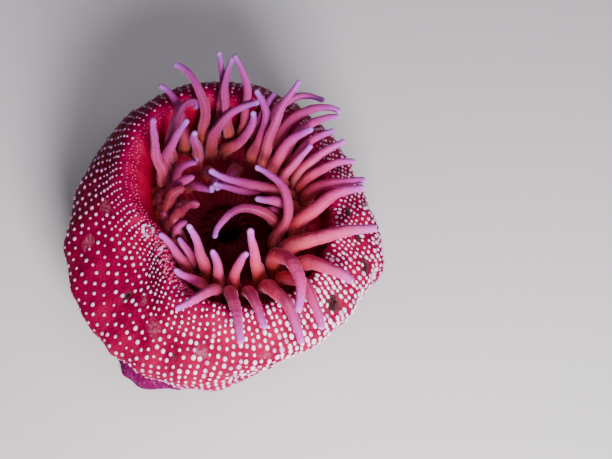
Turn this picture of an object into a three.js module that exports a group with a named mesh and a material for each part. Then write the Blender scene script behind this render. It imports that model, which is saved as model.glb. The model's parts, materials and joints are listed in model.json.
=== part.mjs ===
// White-spotted rose anemone, half closed, standing on its pedal disc. Millimetres, +Z up.
// The origin is the centre of the foot's flat underside. The body is a column of soft flesh that bulges
// over its foot, folds in at the top as a collar, and holds a sunken oral disc with the mouth in its middle.
// Three cycles of hollow, tapering tentacles grow from the disc between the mouth and the collar.
import * as THREE from 'three';
import { mergeVertices } from 'three/addons/utils/BufferGeometryUtils.js';

// Driving dimensions.
const FOOT_RADIUS = 47;
const BELLY_RADIUS = 59;
const COLLAR_RADIUS = 41;
const FOSSE_RADIUS = 34.6;
const FOOT_TOP = 8;
const BELLY_HEIGHT = 36;
const COLLAR_HEIGHT = 64;
const FOSSE_HEIGHT = 51;
const MOUTH_HEIGHT = 42;
const FLESH_GAP = 0.3;
const ROOT_GAP = 0.5;

// Where the foot's outline gives way to the belly's, and the belly's to the crown's, as spans of height.
const BELLY_SPAN = [0, 22];
const CROWN_SPAN = [34, 56];
// The crown stands a little off the foot's centre, and its lift starts this far from the axis.
const CROWN_SHIFT = new THREE.Vector2(4, 3);
const LIFT_START = 26;

// Meshing.
const BODY_SEGMENTS = 36;
const MOUTH_SEGMENTS = 20;
const TENTACLE_SIDES = 7;
const CURVE_STEPS = 40;

const degrees = THREE.MathUtils.degToRad;
const mix = THREE.MathUtils.lerp;
const smoothstep = THREE.MathUtils.smoothstep;

// A bump of height 1 round the direction at, falling off over width degrees.
function lobe(angle, at, width) {
  const away = THREE.MathUtils.euclideanModulo(THREE.MathUtils.radToDeg(angle) - at + 180, 360) - 180;
  return Math.exp(-((away / width) ** 2));
}

// Outlines of the body seen from above, as radii in the direction of an angle.
function footOutline(angle) {
  const uneven = Math.sin(3 * angle + 0.6) + 0.8 * Math.sin(5 * angle);
  return FOOT_RADIUS + 9.5 * lobe(angle, 227, 22) - 6 * lobe(angle, 303, 36) + uneven;
}

function bellyOutline(angle) {
  const swollen = 2 * lobe(angle, 150, 35) + 4 * lobe(angle, 353, 13);
  const drawnIn = 7 * lobe(angle, 312, 30) + 3.5 * lobe(angle, 290, 15) + 6 * lobe(angle, 20, 20);
  return BELLY_RADIUS + swollen - drawnIn;
}

function collarOutline(angle) {
  return COLLAR_RADIUS + 4.5 * Math.cos(2 * (angle - degrees(112))) - 7.5 * lobe(angle, 215, 24);
}

// How much the collar stands above its mean height: high on the left, low where tentacles drape over it.
function collarLift(angle) {
  return 3 * lobe(angle, 160, 50) - 3 * lobe(angle, 330, 60) - 2 * lobe(angle, 215, 26);
}

// How far the oral disc draws in from the collar, as a share of its radius: the left side shows most.
function discTuck(angle) {
  return 0.13 * lobe(angle, 175, 34);
}

// Moves a point of the round, upright body to its place on the real, uneven one.
function shapeFlesh(point) {
  const angle = Math.atan2(point.y, point.x);
  const reach = Math.hypot(point.x, point.y);
  const belly = smoothstep(point.z, ...BELLY_SPAN);
  const crown = smoothstep(point.z, ...CROWN_SPAN);
  const low = mix(footOutline(angle) / FOOT_RADIUS, bellyOutline(angle) / BELLY_RADIUS, belly);
  const tuck = 1 - discTuck(angle) * (1 - smoothstep(reach, FOSSE_RADIUS, COLLAR_RADIUS));
  const scale = mix(low, collarOutline(angle) / COLLAR_RADIUS * tuck, crown);
  const radius = reach * scale;
  const lift = collarLift(angle) * crown * smoothstep(reach, LIFT_START, COLLAR_RADIUS);
  return new THREE.Vector3(
    CROWN_SHIFT.x * crown + radius * Math.cos(angle),
    CROWN_SHIFT.y * crown + radius * Math.sin(angle),
    point.z + lift,
  );
}

// Turns a section, a closed line of [radius, height] from the axis round to the axis or back to its start,
// about the upright axis and gives it the body's uneven shape.
function turnedFlesh(section, segments) {
  const profile = section.map(([radius, height]) => new THREE.Vector2(radius, height));
  const geometry = new THREE.LatheGeometry(profile, segments).rotateX(Math.PI / 2);
  geometry.deleteAttribute('normal');
  geometry.deleteAttribute('uv');
  const position = geometry.getAttribute('position');
  for (let i = 0; i < position.count; i += 1) {
    const shaped = shapeFlesh(new THREE.Vector3().fromBufferAttribute(position, i));
    position.setXYZ(i, shaped.x, shaped.y, shaped.z);
  }
  return mergeVertices(geometry, 1e-3);
}

const crimson = new THREE.MeshStandardMaterial({ color: 0xb8102f, roughness: 0.4 });
const scarlet = new THREE.MeshStandardMaterial({ color: 0xd0142c, roughness: 0.35 });
const magenta = new THREE.MeshStandardMaterial({ color: 0x8c1450, roughness: 0.45 });
const maroon = new THREE.MeshStandardMaterial({ color: 0x5c0a18, roughness: 0.4 });
const rose = new THREE.MeshStandardMaterial({ color: 0xd9708c, roughness: 0.35 });

const anemone = new THREE.Group();

function addNode(name, geometry, material) {
  const mesh = new THREE.Mesh(geometry, material);
  mesh.name = name;
  anemone.add(mesh);
}

// Foot: the pedal disc, a broad flat sole with a thin flared edge.
const footSection = [
  [0, 0],
  [FOOT_RADIUS - 1.5, 0],
  [FOOT_RADIUS, 1.2],
  [FOOT_RADIUS - 1, 3],
  [FOOT_RADIUS - 2.5, 5.2],
  [FOOT_RADIUS - 3, FOOT_TOP],
  [0, FOOT_TOP],
];

// Seams where the column meets the collar and the oral disc, given on the disc's side.
const shoulder = [47.5, 59.5];
const fosse = [FOSSE_RADIUS, FOSSE_HEIGHT];

// Column: the barrel of the body, from the foot to the shoulder under the collar, with a bowl for the disc.
const columnSection = [
  [0, FOOT_TOP + FLESH_GAP],
  [FOOT_RADIUS - 2.9, FOOT_TOP + FLESH_GAP],
  [49, 13.5],
  [54.2, 20.5],
  [57.8, 28],
  [BELLY_RADIUS, BELLY_HEIGHT],
  [58, 44],
  [54, 52],
  [shoulder[0] + 0.1, shoulder[1] - FLESH_GAP],
  [fosse[0] + 0.1, fosse[1] - FLESH_GAP],
  [34.2, 45],
  [27, 42],
  [19, 38],
  [11, 34],
  [0, 33.5],
];

// Collar: the rolled rim of the column, smooth on its inner face down to the fosse.
const collarSection = [
  shoulder,
  [45.6, 61.8],
  [43.2, 63.5],
  [COLLAR_RADIUS, COLLAR_HEIGHT],
  [39, 63],
  [37.4, 60],
  [36, 55.5],
  fosse,
];

// Oral disc: the dished floor that the tentacles grow from. Its upper face, from the fosse in to the mouth:
const discTop = [
  [fosse[0] - 0.4, fosse[1]],
  [32, 51.6],
  [28.5, 50.8],
  [24, 48.6],
  [19, 45.4],
  [14, 43],
  [10.4, MOUTH_HEIGHT],
];
const discSection = [
  [33.7, 45.6],
  ...discTop,
  [10.2, 34.6],
  [11, 34.4],
  [19, 38.4],
  [27, 42.4],
];

// Mouth: puckered lips round an open throat.
const mouthSection = [
  [0, 34],
  [9.4, 34],
  [9.8, 41],
  [8.6, 43.2],
  [6.8, 43.8],
  [5.4, 42.6],
  [4.6, 39.5],
  [3.6, 36.5],
  [0, 36],
];

addNode('pedal_disc', turnedFlesh(footSection, BODY_SEGMENTS), magenta);
addNode('column', turnedFlesh(columnSection, BODY_SEGMENTS), crimson);
addNode('collar', turnedFlesh([...collarSection, collarSection[0]], BODY_SEGMENTS), scarlet);
addNode('oral_disc', turnedFlesh([...discSection, discSection[0]], BODY_SEGMENTS), maroon);
addNode('mouth', turnedFlesh(mouthSection, MOUTH_SEGMENTS), maroon);

// Tentacles grow in three cycles: cycle 1 round the mouth, cycle 3 next to the collar.
const CYCLE_RADIUS = { 1: 21.5, 2: 26.6, 3: 31.3 };

// Tentacle taper: girth is the radius at the root, the rest are shares of it along the length.
const TAPER = [
  [0, 1],
  [0.12, 1.02],
  [0.32, 0.9],
  [0.52, 0.79],
  [0.7, 0.67],
  [0.86, 0.55],
  [0.97, 0.4],
];

// Height of the unshaped disc's upper face at a radius.
function discHeight(radius) {
  const inner = discTop.findIndex(([r]) => r <= radius);
  const [r0, z0] = discTop[inner - 1];
  const [r1, z1] = discTop[inner];
  return mix(z0, z1, (radius - r0) / (r1 - r0));
}

function discPoint(angle, radius) {
  const flat = new THREE.Vector3(radius * Math.cos(angle), radius * Math.sin(angle), discHeight(radius));
  return shapeFlesh(flat);
}

// The disc's own upward normal where a tentacle grows, from points a short step away on either side.
function discNormal(angle, radius) {
  const stepOut = 1;
  const stepRound = 0.05;
  const alongRadius = discPoint(angle, radius + stepOut).sub(discPoint(angle, radius - stepOut));
  const alongRing = discPoint(angle + stepRound, radius).sub(discPoint(angle - stepRound, radius));
  return alongRadius.cross(alongRing).normalize();
}

// Each tentacle's pose, one row each: where it grows (direction from the mouth in degrees, cycle), then
// heading (the compass direction that it leans in, degrees from +X), lean from upright at its root and at
// its tip (degrees), length and girth (mm), and how far it swings sideways on the way (degrees).
const POSES = [
  // Outer cycle, anticlockwise from the right.
  [11, 3, 1, 5, 108, 29, 2.4, 0],
  [21, 3, 12, 6, 105, 29, 2.2, 0],
  [30, 3, 20, 13, 85, 27, 2.3, 0],
  [39, 3, 33, 5, 100, 26, 2.2, -20],
  [48, 3, 36, 3, 126, 34, 2.2, -50],
  [57, 3, 35, 5, 135, 38, 2.3, -70],
  [66, 3, 45, 5, 140, 38, 2.2, -100],
  [75, 3, 46, 8, 50, 25, 2.0, 0],
  [84, 3, 84, 12, 45, 38, 2.1, 120],
  [93, 3, 90, 0, 42, 37, 2.1, -80],
  [102, 3, 80, 40, 20, 38, 1.9, 70],
  [111, 3, 100, 8, 77, 37, 2.2, 130],
  [124, 3, 108, 15, 60, 30, 2.1, 75],
  [138, 3, 70, -50, 185, 47, 2.1, -60],
  [149, 3, 30, -4, 48, 32, 2.2, 0],
  [160, 3, 100, 15, 30, 33, 2.2, -20],
  [171, 3, 10, 10, 70, 20, 2.4, 0],
  [183, 3, 10, 0, 60, 20, 2.3, 0],
  [196, 3, 0, 0, 60, 18, 2.2, 0],
  [210, 3, 20, 0, 40, 14, 2.0, 0],
  [237, 3, 150, 8, 45, 22, 2.0, 0],
  [253, 3, 185, 8, 60, 17, 2.1, 0],
  [263, 3, 235, 0, 100, 26, 2.3, -60],
  [271, 3, -75, 12, 110, 34, 2.5, 0],
  [282, 3, -70, 8, 105, 29, 2.4, 0],
  [293, 3, -61, 15, 115, 37, 2.7, -30],
  [304, 3, -54, 16, 118, 37, 2.6, -60],
  [317, 3, -28, 14, 110, 31, 3.0, 0],
  // Middle cycle.
  [8, 2, 192, 35, 70, 18, 2.3, 0],
  [21, 2, 180, 68, 55, 34, 2.3, 0],
  [35, 2, 26, 5, 72, 24, 2.0, 0],
  [49, 2, 28, 0, 80, 30, 2.5, -20],
  [60, 2, 50, 10, 55, 42, 2.2, 0],
  [73, 2, 66, 22, 48, 33, 2.3, 165],
  [96, 2, 26, 75, 0, 27, 2.2, 60],
  [107, 2, 35, 0, 88, 34, 2.2, -60],
  [118, 2, -80, -10, 25, 24, 2.2, 0],
  [155, 2, 60, -5, 150, 19, 2.0, -80],
  [178, 2, 0, 35, 65, 14, 1.9, 0],
  [251, 2, 130, 5, 25, 28, 2.2, 0],
  [238, 2, 140, 20, 60, 13, 2.0, 0],
  [263, 2, 110, 5, 10, 19, 2.2, 0],
  [274, 2, 44, 0, 48, 18, 2.3, 0],
  [294, 2, 115, 5, 20, 27, 2.4, 0],
  [308, 2, -58, -8, 124, 43, 3.0, -80],
  [323, 2, 4, 28, 110, 40, 3.2, 30],
  [342, 2, 25, 15, 108, 36, 3.0, 0],
  // Inner cycle.
  [8, 1, 183, -15, 165, 13, 2.0, 0],
  [45, 1, 205, 50, 60, 27, 2.0, -60],
  [85, 1, 250, 40, 80, 20, 2.2, 0],
  [112, 1, -75, 30, 80, 20, 2.1, -60],
  [136, 1, -35, 40, 75, 16, 2.0, 0],
  [326, 1, 92, 40, 85, 39, 2.2, 170],
  [347, 1, 190, 30, 118, 37, 2.1, 150],
];

// The share of its length over which a tentacle turns from the flesh's normal to its own lean and heading.
const ROOT_SHARE = 0.2;

// Centreline of a tentacle: it leaves the disc square to the flesh and soon takes its own way.
function tentaclePath([direction, cycle, heading, rootLean, tipLean, length, , swing]) {
  const angle = degrees(direction);
  const radius = CYCLE_RADIUS[cycle];
  const normal = discNormal(angle, radius);
  const point = discPoint(angle, radius).addScaledVector(normal, ROOT_GAP);
  const points = [point.clone()];
  for (let i = 0; i < CURVE_STEPS; i += 1) {
    const along = (i + 0.5) / CURVE_STEPS;
    const lean = degrees(mix(rootLean, tipLean, along));
    const turn = degrees(heading + swing * (along - 0.5));
    const own = new THREE.Vector3(
      Math.sin(lean) * Math.cos(turn),
      Math.sin(lean) * Math.sin(turn),
      Math.cos(lean),
    );
    const step = normal.clone().lerp(own, smoothstep(along, 0, ROOT_SHARE)).setLength(length / CURVE_STEPS);
    points.push(point.add(step).clone());
  }
  return new THREE.CatmullRomCurve3(points);
}

// A tapered tube: a turned tentacle stood along its curve, ring by ring, without twisting.
function tentacleGeometry(pose) {
  const path = tentaclePath(pose);
  const girth = pose[6];
  const profile = TAPER.map(([along, share]) => new THREE.Vector2(share * girth, along));
  const geometry = new THREE.LatheGeometry(
    [new THREE.Vector2(0, 0), ...profile, new THREE.Vector2(0, 1)],
    TENTACLE_SIDES,
  );
  geometry.deleteAttribute('normal');
  geometry.deleteAttribute('uv');
  const position = geometry.getAttribute('position');
  const start = path.getTangentAt(0);
  const upright = new THREE.Quaternion().setFromUnitVectors(new THREE.Vector3(0, 1, 0), start);
  for (let i = 0; i < position.count; i += 1) {
    const along = position.getY(i);
    const tangent = path.getTangentAt(along);
    const bend = new THREE.Quaternion().setFromUnitVectors(start, tangent);
    const rim = new THREE.Vector3(position.getX(i), 0, position.getZ(i)).applyQuaternion(upright);
    const placed = rim.applyQuaternion(bend).add(path.getPointAt(along));
    position.setXYZ(i, placed.x, placed.y, placed.z);
  }
  return mergeVertices(geometry, 1e-3);
}

POSES.forEach((pose, i) => {
  const number = String(i + 1).padStart(2, '0');
  addNode(`tentacle_${number}`, tentacleGeometry(pose), rose);
});

export default anemone;
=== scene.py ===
import json
import math
import random

import bpy
import numpy as np
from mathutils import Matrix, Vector, kdtree, noise

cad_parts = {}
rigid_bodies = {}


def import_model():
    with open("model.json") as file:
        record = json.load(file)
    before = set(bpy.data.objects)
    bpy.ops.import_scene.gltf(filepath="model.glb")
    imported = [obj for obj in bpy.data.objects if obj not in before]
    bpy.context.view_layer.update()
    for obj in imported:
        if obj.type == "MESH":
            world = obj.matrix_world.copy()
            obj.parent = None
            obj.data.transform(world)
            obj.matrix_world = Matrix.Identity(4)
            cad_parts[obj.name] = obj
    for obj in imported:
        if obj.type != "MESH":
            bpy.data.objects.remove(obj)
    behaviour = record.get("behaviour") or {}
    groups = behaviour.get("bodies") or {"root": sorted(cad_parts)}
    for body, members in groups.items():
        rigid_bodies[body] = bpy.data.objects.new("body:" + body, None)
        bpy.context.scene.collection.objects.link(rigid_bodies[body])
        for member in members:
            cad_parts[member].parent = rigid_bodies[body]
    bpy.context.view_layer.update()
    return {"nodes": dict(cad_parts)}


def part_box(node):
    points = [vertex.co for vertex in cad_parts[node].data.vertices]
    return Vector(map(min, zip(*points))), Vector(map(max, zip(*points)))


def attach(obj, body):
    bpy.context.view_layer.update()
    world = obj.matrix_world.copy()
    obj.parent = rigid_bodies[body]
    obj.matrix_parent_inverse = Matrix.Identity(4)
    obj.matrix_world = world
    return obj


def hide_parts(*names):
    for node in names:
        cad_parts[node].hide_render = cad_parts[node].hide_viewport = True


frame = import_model()


# ---------------------------------------------------------------------------------------------
# Camera, floor and studio lights. The camera looks steeply down from the front, into the crown,
# with the animal left of the middle. The floor is plain and pale, and the lights are large and soft.

AIM = Vector((0.031, 0.0045, 0.036))
VIEW_DISTANCE = 0.42
VIEW_ELEVATION = math.radians(62)
FLOOR_SIDE = 6
FLOOR_PALE = (0.80, 0.79, 0.80, 1)
LIGHTS_AIM = Vector((0, 0, 0.04))

towards_camera = Vector((0, -math.cos(VIEW_ELEVATION), math.sin(VIEW_ELEVATION)))
camera_data = bpy.data.cameras.new("camera")
camera_data.lens = 65
camera_data.sensor_width = 36
camera_data.clip_start = 0.01
camera = bpy.data.objects.new("camera", camera_data)
camera.location = AIM + VIEW_DISTANCE * towards_camera
camera.rotation_euler = (-towards_camera).to_track_quat("-Z", "Y").to_euler()
bpy.context.scene.collection.objects.link(camera)
bpy.context.scene.camera = camera

bpy.ops.object.select_all(action="DESELECT")
bpy.ops.mesh.primitive_plane_add(size=FLOOR_SIDE, location=(0, 0, 0))
floor = bpy.context.object
floor.name = "floor"
floor_paint = bpy.data.materials.new("floor_paint")
floor_paint.use_nodes = True
floor_shader = floor_paint.node_tree.nodes["Principled BSDF"]
floor_shader.inputs["Base Color"].default_value = FLOOR_PALE
floor_shader.inputs["Roughness"].default_value = 0.8
floor.data.materials.append(floor_paint)


def soft_light(name, place, size, watts, tint):
    """A square area light that faces the animal."""
    data = bpy.data.lights.new(name, "AREA")
    data.size = size
    data.energy = watts
    data.color = tint
    lamp = bpy.data.objects.new(name, data)
    lamp.location = place
    lamp.rotation_euler = (LIGHTS_AIM - lamp.location).to_track_quat("-Z", "Y").to_euler()
    bpy.context.scene.collection.objects.link(lamp)


soft_light("key_light", (0.14, -0.44, 0.31), 0.20, 6.8, (1.0, 0.94, 0.97))
soft_light("fill_light", (-0.42, -0.30, 0.50), 0.50, 0.3, (0.95, 0.92, 1.0))
soft_light("top_light", (0.20, -0.16, 0.66), 0.40, 1.6, (0.95, 0.88, 1.0))

world = bpy.data.worlds.new("studio")
world.use_nodes = True
world.node_tree.nodes["Background"].inputs["Color"].default_value = (0.9, 0.9, 0.95, 1)
world.node_tree.nodes["Background"].inputs["Strength"].default_value = 0.03
bpy.context.scene.world = world


# ---------------------------------------------------------------------------------------------
# Body flesh: foot, column, collar, oral disc and mouth in one closed, wet, rubbery wall of tissue.
# Its section is traced edge by edge and spun about the upright axis, then pressed out of round.
# Lengths in this section are in millimetres until the last step.

MM = 0.001
SPOKES = 320
SECTION_POINTS = 4000
LINE_STEP = 0.9
SOLE_STEPS = 12
FOOT_RADIUS = 47
BELLY_RADIUS = 59
COLLAR_RADIUS = 41
FOSSE_RADIUS = 34.6
CROWN_SHIFT = (4, 3)

SOLE = [(0, 0), (15, 0), (30, 0), (43, 0), (45.8, 0.2)]
FOOT_EDGE = [(47, 1.3), (46.4, 3), (44.9, 5), (44.2, 7.2), (44.7, 9.4)]
COLUMN_SIDE = [
    (46.4, 11.4),
    (49.3, 14),
    (54.2, 20.5),
    (57.8, 28),
    (59, 36),
    (58, 44),
    (54, 52),
    (47.7, 59.4),
]
COLLAR_CREST = [(45.7, 61.8), (43.4, 63.5), (41, 64), (39, 63)]
COLLAR_FACE = [(37.4, 60), (36, 55.5), (35, 51.8)]
FOSSE = [(34.2, 50.6), (33.2, 50.8)]
DISC = [(31.6, 51.4), (28.5, 50.8), (24, 48.6), (19, 45.4), (14, 43), (10.8, 41.9)]
MOUTH = [(9.6, 42.4), (8.4, 43.3), (6.8, 43.7), (5.5, 42.6), (4.7, 39.5), (3.8, 37), (2.2, 36.1), (0, 36)]
SECTION = SOLE + FOOT_EDGE + COLUMN_SIDE + COLLAR_CREST + COLLAR_FACE + FOSSE + DISC + MOUTH

# Swellings (above 0) and hollows (below 0) that press the round outline into the real one, as
# (height, direction in degrees, width in degrees).
FOOT_SWELLINGS = [(9.5, 227, 22), (-6, 303, 36)]
BELLY_SWELLINGS = [(2, 150, 35), (4, 353, 13), (-7, 312, 30), (-3.5, 290, 15), (-6, 20, 20)]
COLLAR_SWELLINGS = [(-7.5, 215, 24)]
CREST_SWELLINGS = [(3, 160, 50), (-3, 330, 60), (-2, 215, 26)]
COLLAR_OVAL = 4.5
COLLAR_LONG_WAY = math.radians(112)
FOSSE_TUCK = 0.13
FOSSE_TUCK_AT = 175
FOSSE_TUCK_WIDTH = 34

# Where one part of the body passes into the next, by height and by reach from the upright axis.
FOOT_TO_BELLY = (0, 22)
BELLY_TO_CROWN = (34, 56)
CREST_START = (50, 60)
CREST_TOP = (58, 63.5)
CREST_INSIDE = (34, 38)
COLUMN_REACH = (42, 46)
COLUMN_FOOT = (8, 16)
FOOT_REACH = (40, 46)
FOOT_TOP = (4, 9)
SOLE_RISE = (-0.5, 1.2)
DISC_INSIDE = (10.5, 14)
DISC_OUTSIDE = (30, 33.5)
LIPS_INSIDE = (4.4, 7)
LIPS_OUTSIDE = (9.5, 11.5)
CRUMPLED_INSIDE = (17, 24)
CRUMPLED_OUTSIDE = (31, 34.5)
INSIDE_HEIGHT = 40
THROAT_HEIGHT = 38
LIFTED_REACH = 26

# How many folds go round the body, how large the lumps are, and how far they all stand out.
FURROWS = 24
FURROW_HEIGHT = 0.35
WRINKLE_HEIGHT = 0.12
WRINKLE_PACE = 1.9
FOOT_CRIMPS = 37
FOOT_CRIMP_HEIGHT = 0.5
DISC_PLEATS = 48
DISC_PLEAT_HEIGHT = 0.3
LIP_PUCKERS = 16
LIP_PUCKER_HEIGHT = 0.45
FRILL_AT = 217
FRILL_WIDTH = 20
FRILL_FOLDS = 58
FRILL_HEIGHT = 0.55
FRILL_SWAYS = 40
FRILL_SWAY_HEIGHT = 0.3
SOFT_LUMP = 13
SOFT_HEIGHT = 0.9
FINE_LUMP = 4.2
FINE_HEIGHT = 0.35
CRUMPLED_AT = 190
CRUMPLED_FLESH_WIDTH = 27
CRUMPLED_HEIGHT = 7.5
CRUMPLED_RELIEF = 5
CRUMPLED_GRAIN = 1.5
PIT_DEPTH = 1.3

# Marks of a long life, as (direction in degrees, length along the section, size): healed pits, and
# greyish patches of shed skin.
PITS = [
    (220, 99, 1.3),
    (348, 112, 3.0),
    (337, 106.5, 2.6),
    (314, 112, 3.0),
    (355, 118, 2.0),
    (252, 100, 0.9),
]
SLOUGH = [
    (181, 110, 3.2),
    (189, 97.5, 2.6),
    (240, 103, 3.2),
    (261, 106, 2.6),
    (229, 104, 1.8),
    (283, 108, 2.3),
    (70, 98, 3),
]
SPOT_SPREAD = 1.1
RAGGED_LOBES = 0.55
RAGGED_TEETH = 0.3


def smooth_line(points, shares):
    """Points at the given shares (0 to the number of spans) of a smooth curve through the points."""
    points = np.asarray(points, float)
    padded = np.vstack([2 * points[0] - points[1], points, 2 * points[-1] - points[-2]])
    span = np.minimum(np.asarray(shares).astype(int), len(points) - 2)
    t = (np.asarray(shares) - span)[:, None]
    before, start, end, after = (padded[span + k] for k in range(4))
    return 0.5 * (
        2 * start
        + (end - before) * t
        + (2 * before - 5 * start + 4 * end - after) * t ** 2
        + (3 * start - before - 3 * end + after) * t ** 3
    )


def smoothstep(value, low, high):
    """0 below low and 1 above high, with a soft rise between them."""
    t = np.clip((value - low) / (high - low), 0, 1)
    return t * t * (3 - 2 * t)


def mix(a, b, share):
    """From a at share 0 to b at share 1."""
    return a + (b - a) * share


def lobe(angle, at, width):
    """A bump of height 1 round the direction at, falling off over width degrees."""
    away = (np.degrees(angle) - at + 180) % 360 - 180
    return np.exp(-((away / width) ** 2))


def swollen(start, angle, swellings):
    """The start value with each swelling added to it, in turn."""
    for height, at, width in swellings:
        start = start + height * lobe(angle, at, width)
    return start


def lumps(points, size, seed):
    """Smooth noise from about -1 to 1 with lumps of about that size."""
    return np.array([noise.noise(Vector(point) / size + Vector((seed, 0, 0))) for point in points])


def marks(angle, lengths, spots):
    """How much each point is inside one of the ragged spots, from 0 to 1."""
    angle = np.asarray(angle)
    radius = on_line(lengths)[:, 0]
    mask = np.zeros(len(angle))
    for direction, at, size in spots:
        aside = (np.degrees(angle) - direction + 180) % 360 - 180
        away = np.hypot(np.radians(aside) * radius, lengths - at) / size
        near = away < 2
        unrolled = np.stack([angle * radius, lengths, 0 * lengths], axis=1)[near]
        lobes = RAGGED_LOBES * lumps(unrolled, 0.45 * size, at)
        teeth = RAGGED_TEETH * lumps(unrolled, 0.9, at)
        away[near] = away[near] * (SPOT_SPREAD + lobes + teeth)
        mask = np.maximum(mask, np.exp(-(np.abs(away) ** 4)))
    return mask


def crumpled(angle, reach, height):
    """How much a point of the disc belongs to the crumpled flesh at its left edge, from 0 to 1."""
    band = smoothstep(reach, *CRUMPLED_INSIDE) * (1 - smoothstep(reach, *CRUMPLED_OUTSIDE))
    return lobe(angle, CRUMPLED_AT, CRUMPLED_FLESH_WIDTH) * band * (height > INSIDE_HEIGHT)


def shape_flesh(points, lengths):
    """Moves points of the round, upright body to their place on the real, uneven one, in metres."""
    points = np.asarray(points, float)
    angle = np.arctan2(points[:, 1], points[:, 0])
    reach = np.hypot(points[:, 0], points[:, 1])
    height = points[:, 2]

    # The large forms, as in the solids. The foot also has three slow waves and five small ones.
    foot = FOOT_RADIUS + np.sin(3 * angle + 0.6) + 0.8 * np.sin(5 * angle)
    foot = swollen(foot, angle, FOOT_SWELLINGS)
    belly = swollen(BELLY_RADIUS, angle, BELLY_SWELLINGS)
    collar = COLLAR_RADIUS + COLLAR_OVAL * np.cos(2 * (angle - COLLAR_LONG_WAY))
    collar = swollen(collar, angle, COLLAR_SWELLINGS)
    lift = swollen(0, angle, CREST_SWELLINGS)
    crown = smoothstep(height, *BELLY_TO_CROWN)
    inward = 1 - smoothstep(reach, FOSSE_RADIUS, COLLAR_RADIUS)
    tuck = 1 - FOSSE_TUCK * lobe(angle, FOSSE_TUCK_AT, FOSSE_TUCK_WIDTH) * inward
    low = mix(foot / FOOT_RADIUS, belly / BELLY_RADIUS, smoothstep(height, *FOOT_TO_BELLY))
    scale = mix(low, collar / COLLAR_RADIUS * tuck, crown)

    # The column: soft furrows down it, and fine wrinkles round it below the crest.
    outside = smoothstep(reach, *COLUMN_REACH) * smoothstep(height, *COLUMN_FOOT)
    below_crest = 1 - smoothstep(height, *CREST_START)
    furrows = np.sin(FURROWS * angle + 1.2 * np.sin(3 * angle) + 0.02 * height)
    soft = lumps(points, SOFT_LUMP, 0)
    fine = lumps(points, FINE_LUMP, 40)
    out = outside * (FURROW_HEIGHT * furrows * below_crest + SOFT_HEIGHT * soft + FINE_HEIGHT * fine)
    out = out + outside * WRINKLE_HEIGHT * np.sin(WRINKLE_PACE * lengths + 2 * soft) * below_crest
    out = out - PIT_DEPTH * marks(angle, lengths, PITS)

    # A crimped foot, pleats in the disc and puckered lips.
    margin = smoothstep(reach, *FOOT_REACH) * (1 - smoothstep(height, *FOOT_TOP))
    crimps = FOOT_CRIMP_HEIGHT * np.sin(FOOT_CRIMPS * angle + 3 * soft) + 1.1 * soft
    out = out + margin * crimps * smoothstep(height, *SOLE_RISE)
    on_disc = smoothstep(reach, *DISC_INSIDE) * (1 - smoothstep(reach, *DISC_OUTSIDE))
    on_disc = on_disc * (height > INSIDE_HEIGHT)
    pleats = DISC_PLEAT_HEIGHT * np.cos(DISC_PLEATS * angle) + 0.25 * fine
    on_lips = smoothstep(reach, *LIPS_INSIDE) * (1 - smoothstep(reach, *LIPS_OUTSIDE))
    on_lips = on_lips * (height > THROAT_HEIGHT)
    puckers = LIP_PUCKER_HEIGHT * np.cos(LIP_PUCKERS * angle + 0.8 * soft)

    # An uneven crest, pinched into a frill, and crumpled flesh at the left edge of the disc.
    crest = smoothstep(height, *CREST_TOP) * smoothstep(reach, *CREST_INSIDE)
    pinch = crest * lobe(angle, FRILL_AT, FRILL_WIDTH)
    up = on_disc * pleats + on_lips * puckers + crest * (FINE_HEIGHT * fine + 0.5 * soft)
    relief = CRUMPLED_HEIGHT + CRUMPLED_RELIEF * lumps(points, 3.4, 80)
    relief = relief + CRUMPLED_GRAIN * lumps(points, 1.7, 90)
    up = up + crumpled(angle, reach, height) * relief
    up = up + pinch * FRILL_HEIGHT * np.sin(FRILL_FOLDS * angle + 2 * fine)
    out = out + pinch * FRILL_SWAY_HEIGHT * np.sin(FRILL_SWAYS * angle + 4 * soft)

    radius = reach * scale + out
    raised = height + lift * crown * smoothstep(reach, LIFTED_REACH, COLLAR_RADIUS)
    raised = raised + up * (height > 0.5)
    return MM * np.stack(
        [
            CROWN_SHIFT[0] * crown + radius * np.cos(angle),
            CROWN_SHIFT[1] * crown + radius * np.sin(angle),
            raised,
        ],
        axis=1,
    )


# The section as a smooth line with even steps, and how far along it each point lies.
dense = smooth_line(SECTION, np.linspace(0, len(SECTION) - 1, SECTION_POINTS))
dense[:, 0] = np.maximum(dense[:, 0], 0)
dense[:, 1] = np.maximum(dense[:, 1], 0)
dense_length = np.concatenate([[0], np.cumsum(np.hypot(*np.diff(dense, axis=0).T))])
line_length = dense_length[-1]


def on_line(lengths):
    """Radius and height of the section at those lengths along it from the middle of the sole."""
    return np.stack([np.interp(lengths, dense_length, dense[:, k]) for k in (0, 1)], axis=1)


def length_at(corner):
    """How far along the section a corner of it lies, in mm."""
    return dense_length[np.argmin(np.hypot(*(dense - corner).T))]


def zone_at(corner):
    """The same as a share of the whole section, from 0 at the sole to 1 in the throat."""
    return length_at(corner) / line_length


def tree_of(places):
    """A tree that finds the nearest of these places."""
    tree = kdtree.KDTree(len(places))
    for index, place in enumerate(places):
        tree.insert(place, index)
    tree.balance()
    return tree


sole_end = length_at(SOLE[-2])
coarse_sole = np.linspace(0, sole_end, SOLE_STEPS, endpoint=False)
fine_rest = np.linspace(sole_end, line_length, round((line_length - sole_end) / LINE_STEP))
trace = on_line(np.concatenate([coarse_sole, fine_rest]))
trace[0] = (0, 0)
trace[-1, 0] = 0

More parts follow.
